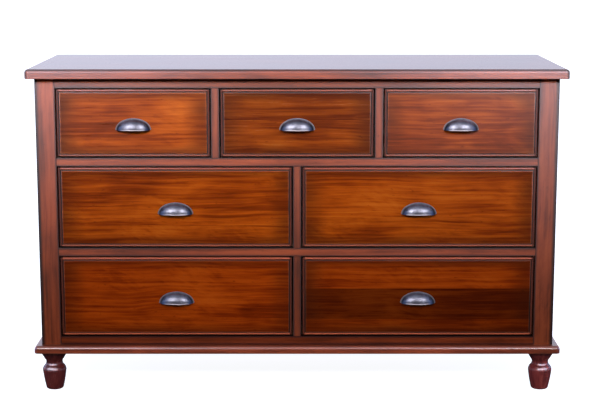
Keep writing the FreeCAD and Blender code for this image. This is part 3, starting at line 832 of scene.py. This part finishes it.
def makePull(name):
    p = cupPull
    halfWide, tall, deep = p["width"] / 2 - p["flange"], p["height"] - p["flange"], p["reach"] - p["lip"]
    letGo()
    bpy.ops.mesh.primitive_uv_sphere_add(segments=p["segments"], ring_count=p["rings"], radius=1,
                                         location=(0, 0, 0))
    piece = named(name)
    stretch(piece, (halfWide, deep, tall))
    editMode()
    selectAll()
    bpy.ops.mesh.bisect(plane_co=(0, -p["wall"], 0), plane_no=(0, 1, 0), clear_outer=True)
    selectAll()
    bpy.ops.mesh.bisect(plane_co=(0, 0, p["lipHeight"]), plane_no=(0, 0, 1), clear_inner=True)
    objectMode()
    # lip: out from the open edge, then down and a little further out
    pick(piece, "EDGE", lambda c: flat(c, 2, p["lipHeight"]))
    step, lip = p["lip"] * p["lipStep"], p["lip"]
    bpy.ops.mesh.extrude_region_move()
    widen((halfWide + step) / halfWide, (deep + step) / deep, 1)
    bpy.ops.mesh.extrude_region_move(TRANSFORM_OT_translate={"value": (0, 0, -p["lipHeight"])})
    widen((halfWide + lip) / (halfWide + step), (deep + lip) / (deep + step), 1)
    objectMode()
    # flange: out from the back edge, in the plane of the drawer front
    pick(piece, "EDGE", lambda c: all(v.y > -p["wall"] * p["backSlack"] for v in c))
    bpy.ops.mesh.extrude_region_move()
    widen((halfWide + p["flange"]) / halfWide, 1, (tall + p["flange"]) / tall)
    objectMode()
    cleanMesh(piece)
    applyModifier(piece, "SOLIDIFY", thickness=p["wall"], offset=-1, use_even_offset=True)
    # rounds the two lower corners of the flange
    outline = board("pull_outline", Vector((-p["width"] / 2, -2 * p["reach"], 0)),
                    Vector((p["width"] / 2, p["wall"], 2 * p["height"])))
    roundEdges(outline, lambda c: flat(c, 2, 0.0) and level(c, 0), p["cornerRound"], p["cornerSteps"])
    applyModifier(piece, "BOOLEAN", operation="INTERSECT", solver="EXACT", object=outline)
    bpy.data.objects.remove(outline)
    # posts for the screws, run into the dome's wall
    posts = []
    across = p["postSpacing"] / 2
    reach = deep * math.sqrt(1 - (across / halfWide) ** 2 - (p["postHeight"] / tall) ** 2) - p["wall"] / 2
    for side in (-1, 1):
        bpy.ops.mesh.primitive_cylinder_add(vertices=p["postSteps"], radius=p["postRadius"], depth=reach,
                                            location=(side * across, -reach / 2, p["postHeight"]),
                                            rotation=(math.pi / 2, 0, 0))
        posts.append(bpy.context.object)
    hold(piece)
    for post in posts:
        post.select_set(True)
    bpy.ops.object.join()
    return piece


pewterCast = {
    "cloud": (70, 70, 4, 0.6, 0.5), "cloudSeed": 2.0, "grit": (900, 900, 2, 0.6, 0), "gritSeed": 5.0,
    "shades": [(0.3, (0.130, 0.130, 0.160)), (0.5, (0.190, 0.190, 0.232)), (0.72, (0.260, 0.260, 0.310))],
    # painted shade: the ends darker
    "ends": (0.027, 0.043, 1.0, 0.22),  # sideways from and to, tone of the middle and of the ends
    "rim": (0.86, 0.99), "rimCloud": 0.12, "rimColour": (0.30, 0.28, 0.30),
    "lip": (0.0012, 0.0042), "lipCloud": 0.0016, "lipWidth": (0.028, 0.038), "lipColour": (0.40, 0.32, 0.30),
    "wornShare": 0.85, "rough": 0.30, "cloudRough": 0.18, "wornRough": 0.20,
    "bumpStrength": 0.12, "bumpDistance": 0.0003, "gritBump": 0.4,
}


def pewter(name, middle):
    # dark cast metal, rubbed lighter at the rim and lip, the lip warmer; darker towards the ends as painted
    # shade
    m = pewterCast
    finish, tree, shader = blankFinish(name)
    local = placed(tree, objectPoint(tree), middle)
    apart = parted(tree, local)
    cloud = grainNoise(tree, local, m["cloudSeed"], m["cloud"])
    grit = grainNoise(tree, local, m["gritSeed"], m["grit"])
    across = sums(tree, "POWER", sums(tree, "DIVIDE", apart[0], cupPull["width"] / 2), 2.0)
    up = sums(tree, "POWER", sums(tree, "DIVIDE", apart[2], cupPull["height"]), 2.0)
    rim = sums(tree, "MULTIPLY_ADD", cloud, m["rimCloud"], sums(tree, "ADD", across, up))
    rim = spread(tree, rim, *m["rim"])
    sideways = sums(tree, "ABSOLUTE", apart[0])
    lip = spread(tree, sums(tree, "MULTIPLY_ADD", cloud, m["lipCloud"], apart[2]), *m["lip"], 1.0, 0.0)
    lip = sums(tree, "MULTIPLY", lip, spread(tree, sideways, *m["lipWidth"], 1.0, 0.0))
    # painted shade: darker towards the ends
    colour = toned(tree, shadeRamp(tree, cloud, m["shades"]), spread(tree, sideways, *m["ends"]))
    for worn, wornColour in ((rim, m["rimColour"]), (lip, m["lipColour"])):
        colour = blendColour(tree, sums(tree, "MULTIPLY", worn, m["wornShare"]), colour, wornColour)
    feed(tree, shader.inputs["Base Color"], colour)
    rough = sums(tree, "MULTIPLY_ADD", cloud, m["cloudRough"], m["rough"])
    rough = sums(tree, "MULTIPLY_ADD", sums(tree, "MAXIMUM", rim, lip), m["wornRough"], rough)
    feed(tree, shader.inputs["Roughness"], rough)
    shader.inputs["Metallic"].default_value = 1.0
    bumped(tree, shader, sums(tree, "MULTIPLY_ADD", grit, m["gritBump"], cloud),
           m["bumpStrength"], m["bumpDistance"])
    return finish


firstPull = makePull("first_pull")
for drawer in drawers:
    node = drawer + "_pull"
    low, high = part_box(node)
    place = Vector(((low.x + high.x) / 2, high.y, low.z))
    piece = copyOf(firstPull, drawer + "_cup_pull", place)
    fit(piece, drawer, "pewter", node, angle=40)
    dress(piece, pewter("pewter on the " + drawer.replace("_", " "), place))
bpy.data.objects.remove(firstPull)
print("pulls made")


# side panels: stained like the frame
sidePanel = {
    "grain": "z", "stain": frameStain, "rough": 0.42, "edgeAxes": (1, 2), "edges": plainEdges,
    "boards": [(None, 0.95), (-0.13, 1.03), (0.01, 0.98), (0.14, 1.05)], "boardAxis": 1, "seed": 41,
}

for name in ("left_side_panel", "right_side_panel"):
    low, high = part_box(name)
    look = sidePanel | {"seed": sidePanel["seed"] + low.x}  # a different grain on each side
    dress(nodes[name], stainedWood(name, (low, high), look))


# plain wood inside, and the steel that holds it together
maple = [(0.0, (0.34, 0.20, 0.095)), (0.4, (0.52, 0.34, 0.175)), (0.75, (0.63, 0.44, 0.25)),
         (1.0, (0.72, 0.53, 0.33))]
birch = [(0.0, (0.17, 0.075, 0.030)), (0.5, (0.27, 0.13, 0.055)), (1.0, (0.37, 0.20, 0.090))]
insideWood = {
    "plain wood across": {
        "nodes": ["drawer_kickers", "drawer_stops", "back_rails", "base_back_rail"],
        "grain": "x", "seed": 3.0, "rough": 0.38, "shades": maple},
    "plain wood lengthways": {
        "nodes": ["drawer_runners", "drawer_guides"],
        "grain": "y", "seed": 6.0, "rough": 0.38, "shades": maple},
    "drawer box wood": {
        "nodes": [drawer + "_box" for drawer in drawers],
        "grain": "y", "turns": True, "seed": 6.5, "rough": 0.38, "shades": maple},
    "plywood": {
        "nodes": ["back_panel", "bottom_panel"],
        "grain": "x", "seed": 8.0, "rough": 0.42, "shades": birch},
}
paleGrain = {
    "centre": (0.31, 0.17, 0.05), "facing": 0.7,
    "figure": (1.7, 16, 3, 0.55, 0.6), "figureWeight": 0.6,
    "streaks": (4, 90, 4, 0.6, 0.2), "streakWeight": 0.45, "streakRough": 0.2,
    "pores": (40, 900, 2, 0.6, 0), "poreRange": (0.6, 0.72), "poreShare": 0.35,
    "shadeRange": (0.33, 0.74), "bumpStrength": 0.2, "bumpDistance": 0.0004, "poreBump": -0.6,
}
zincPlate = {
    "cloud": (220, 220, 3, 0.6, 0.4), "seed": 1.0, "rough": 0.22, "cloudRough": 0.25,
    "shades": [(0.3, (0.30, 0.29, 0.26)), (0.7, (0.52, 0.51, 0.48))],
}


def paleWood(name, look):
    # unstained; on a box the grain turns to run along the boards that face front and back
    g = paleGrain
    finish, tree, shader = blankFinish(name)
    point = objectPoint(tree)
    along = placed(tree, point, g["centre"], grainTurn[look["grain"]])
    if look.get("turns"):
        facing = parted(tree, tree.nodes.new("ShaderNodeNewGeometry").outputs["True Normal"])
        endwise = sums(tree, "GREATER_THAN", sums(tree, "ABSOLUTE", facing[1]), g["facing"])
        turned = tree.nodes.new("ShaderNodeMix")
        turned.data_type = "VECTOR"
        feed(tree, turned.inputs[0], endwise)
        feed(tree, turned.inputs[4], along)
        feed(tree, turned.inputs[5], placed(tree, point, g["centre"], grainTurn["x"]))
        along = turned.outputs[1]
    figure = grainNoise(tree, along, look["seed"], g["figure"])
    streaks = grainNoise(tree, along, look["seed"], g["streaks"])
    pores = grainNoise(tree, along, look["seed"], g["pores"])
    shade = sums(tree, "MULTIPLY", figure, g["figureWeight"])
    shade = sums(tree, "MULTIPLY_ADD", streaks, g["streakWeight"], shade)
    colour = shadeRamp(tree, spread(tree, shade, *g["shadeRange"]), look["shades"])
    inPores = spread(tree, pores, *g["poreRange"], 0.0, g["poreShare"])
    feed(tree, shader.inputs["Base Color"], blendColour(tree, inPores, colour, look["shades"][0][1]))
    rough = sums(tree, "MULTIPLY_ADD", streaks, g["streakRough"], look["rough"])
    feed(tree, shader.inputs["Roughness"], rough)
    bumped(tree, shader, sums(tree, "MULTIPLY_ADD", pores, g["poreBump"], streaks),
           g["bumpStrength"], g["bumpDistance"])
    return finish


def zincSteel(name):
    finish, tree, shader = blankFinish(name)
    cloud = grainNoise(tree, objectPoint(tree), zincPlate["seed"], zincPlate["cloud"])
    feed(tree, shader.inputs["Base Color"], shadeRamp(tree, cloud, zincPlate["shades"]))
    rough = sums(tree, "MULTIPLY_ADD", cloud, zincPlate["cloudRough"], zincPlate["rough"])
    feed(tree, shader.inputs["Roughness"], rough)
    shader.inputs["Metallic"].default_value = 1.0
    return finish


for finishName, look in insideWood.items():
    finish = paleWood(finishName, look)
    for name in look["nodes"]:
        dress(nodes[name], finish)
steel = zincSteel("zinc plated steel")
for name, node in nodes.items():
    if name.endswith("screws") or name == "foot_bolts":
        dress(node, steel)
print("carried-over nodes dressed")


# pale floor
studioFloor = {"size": 240.0, "glow": 0.90, "colour": (0.80, 0.80, 0.81), "rough": 0.9}

letGo()
bpy.ops.mesh.primitive_plane_add(size=studioFloor["size"], location=(0, 0, 0))
floor = bpy.context.object
floor.name = "studio_floor"
floorFinish, tree, shader = blankFinish("pale floor")
shader.inputs["Base Color"].default_value = (*studioFloor["colour"], 1)
shader.inputs["Roughness"].default_value = studioFloor["rough"]
shader.inputs["Specular IOR Level"].default_value = 0.0
shader.inputs["Emission Color"].default_value = (1, 1, 1, 1)
shader.inputs["Emission Strength"].default_value = studioFloor["glow"]
dress(floor, floorFinish)
floor.visible_diffuse = False
floor.visible_glossy = False

# soft surroundings: a band of light round the back, a ceiling, and bluer sides
surroundings = {
    "colour": (0.88, 0.93, 1.16), "sideColour": (0.50, 0.72, 1.30),
    "low": 0.02, "back": 1.36, "ceiling": 0.45, "side": 0.8,
    "bandRise": (-0.12, 0.02), "bandFade": (0.30, 0.55), "behind": (-0.8, -0.2),
    "leftToRight": (-0.3, 0.3, 1.02, 0.86), "ceilingRise": (0.42, 0.70), "sideRise": (0.45, 0.75),
}

world = bpy.data.worlds.new("studio")
world.use_nodes = True
bpy.context.scene.world = world
tree = world.node_tree
background = tree.nodes["Background"]
apart = parted(tree, tree.nodes.new("ShaderNodeTexCoord").outputs["Generated"])
rising = spread(tree, apart[2], *surroundings["bandRise"])
fading = spread(tree, apart[2], *surroundings["bandFade"], 1.0, 0.0)
behind = spread(tree, apart[1], *surroundings["behind"])
behind = sums(tree, "MULTIPLY", behind, spread(tree, apart[0], *surroundings["leftToRight"]))
glow = sums(tree, "MULTIPLY", sums(tree, "MULTIPLY", rising, fading), behind)
glow = sums(tree, "MULTIPLY_ADD", glow, surroundings["back"], surroundings["low"])
above = spread(tree, apart[2], *surroundings["ceilingRise"])
glow = sums(tree, "MULTIPLY_ADD", above, surroundings["ceiling"], glow)
sideways = spread(tree, sums(tree, "ABSOLUTE", apart[0]), *surroundings["sideRise"])
skyColour = blendColour(tree, sideways, surroundings["colour"], surroundings["sideColour"])
feed(tree, background.inputs["Color"], skyColour)
sideGlow = sums(tree, "MULTIPLY", glow, sideways)
feed(tree, background.inputs["Strength"], sums(tree, "MULTIPLY_ADD", sideGlow, surroundings["side"], glow))

# lights in pairs, given for the right; the panels only give the stained wood its sheen, the glints the feet
# theirs, and the lamps light everything
studioLights = {
    "Panel": {"place": (1.61, -1.90, 2.51), "aim": (0.94, -0.2, 1.69), "size": (1.31, 1.61), "spread": 28.9,
              "colour": (0.98, 1.03, 1.62), "power": {"left": 100.0, "right": 119.0}},
    "Lamp": {"place": (2.24, -5.04, 3.79), "aim": (0.3, -0.25, 2.48), "size": (1.7, 2.5), "spread": 50.0,
             "colour": (0.98, 0.96, 1.0), "power": {"left": 42.2, "right": 37.8}},
    "Glint": {"place": (1.035, -1.20, 0.66), "aim": (0.70, -0.22, 0.06), "size": (2.4, 0.7), "spread": 180.0,
              "colour": (0.90, 1.08, 1.80), "power": {"left": 100.0, "right": 100.0}},
}

sheenWood = bpy.data.collections.new("sheen_wood")
for piece in bpy.context.scene.objects:
    if piece.type == "MESH" and not piece.name.endswith("_pull"):
        sheenWood.objects.link(piece)
sheenFeet = {side: bpy.data.collections.new("sheen_" + side + "_feet") for side in ("left", "right")}
for node in turnedFoot["tones"]:
    sheenFeet["left" if "left" in node else "right"].objects.link(bpy.data.objects["turned_" + node])
for kind, lamp in studioLights.items():
    for side, mirror in (("left", -1), ("right", 1)):
        place = Vector((mirror * lamp["place"][0], *lamp["place"][1:]))
        aim = Vector((mirror * lamp["aim"][0], *lamp["aim"][1:]))
        bpy.ops.object.light_add(type="AREA", location=place)
        light = bpy.context.object
        light.name = "studio_" + side + kind
        light.data.shape = "RECTANGLE"
        light.data.size, light.data.size_y = lamp["size"]
        light.data.energy = lamp["power"][side]
        light.data.color = lamp["colour"]
        light.data.spread = math.radians(lamp["spread"])
        light.rotation_euler = (aim - place).to_track_quat("-Z", "Y").to_euler()
        if kind != "Lamp":
            light.visible_diffuse = False
            light.light_linking.receiver_collection = sheenWood if kind == "Panel" else sheenFeet[side]

# the photograph's camera
cameraSpot = {"place": (0.00818, -4.4413, 1.2927), "tilt": 80.10, "lens": 89.685, "sensor": 36.0,
              "farthest": 500}

bpy.ops.object.camera_add(location=cameraSpot["place"], rotation=(math.radians(cameraSpot["tilt"]), 0, 0))
camera = bpy.context.object
camera.data.lens = cameraSpot["lens"]
camera.data.sensor_width = cameraSpot["sensor"]
camera.data.clip_end = cameraSpot["farthest"]
bpy.context.scene.camera = camera
bpy.context.scene.view_settings.view_transform = "Standard"
print("studio set")
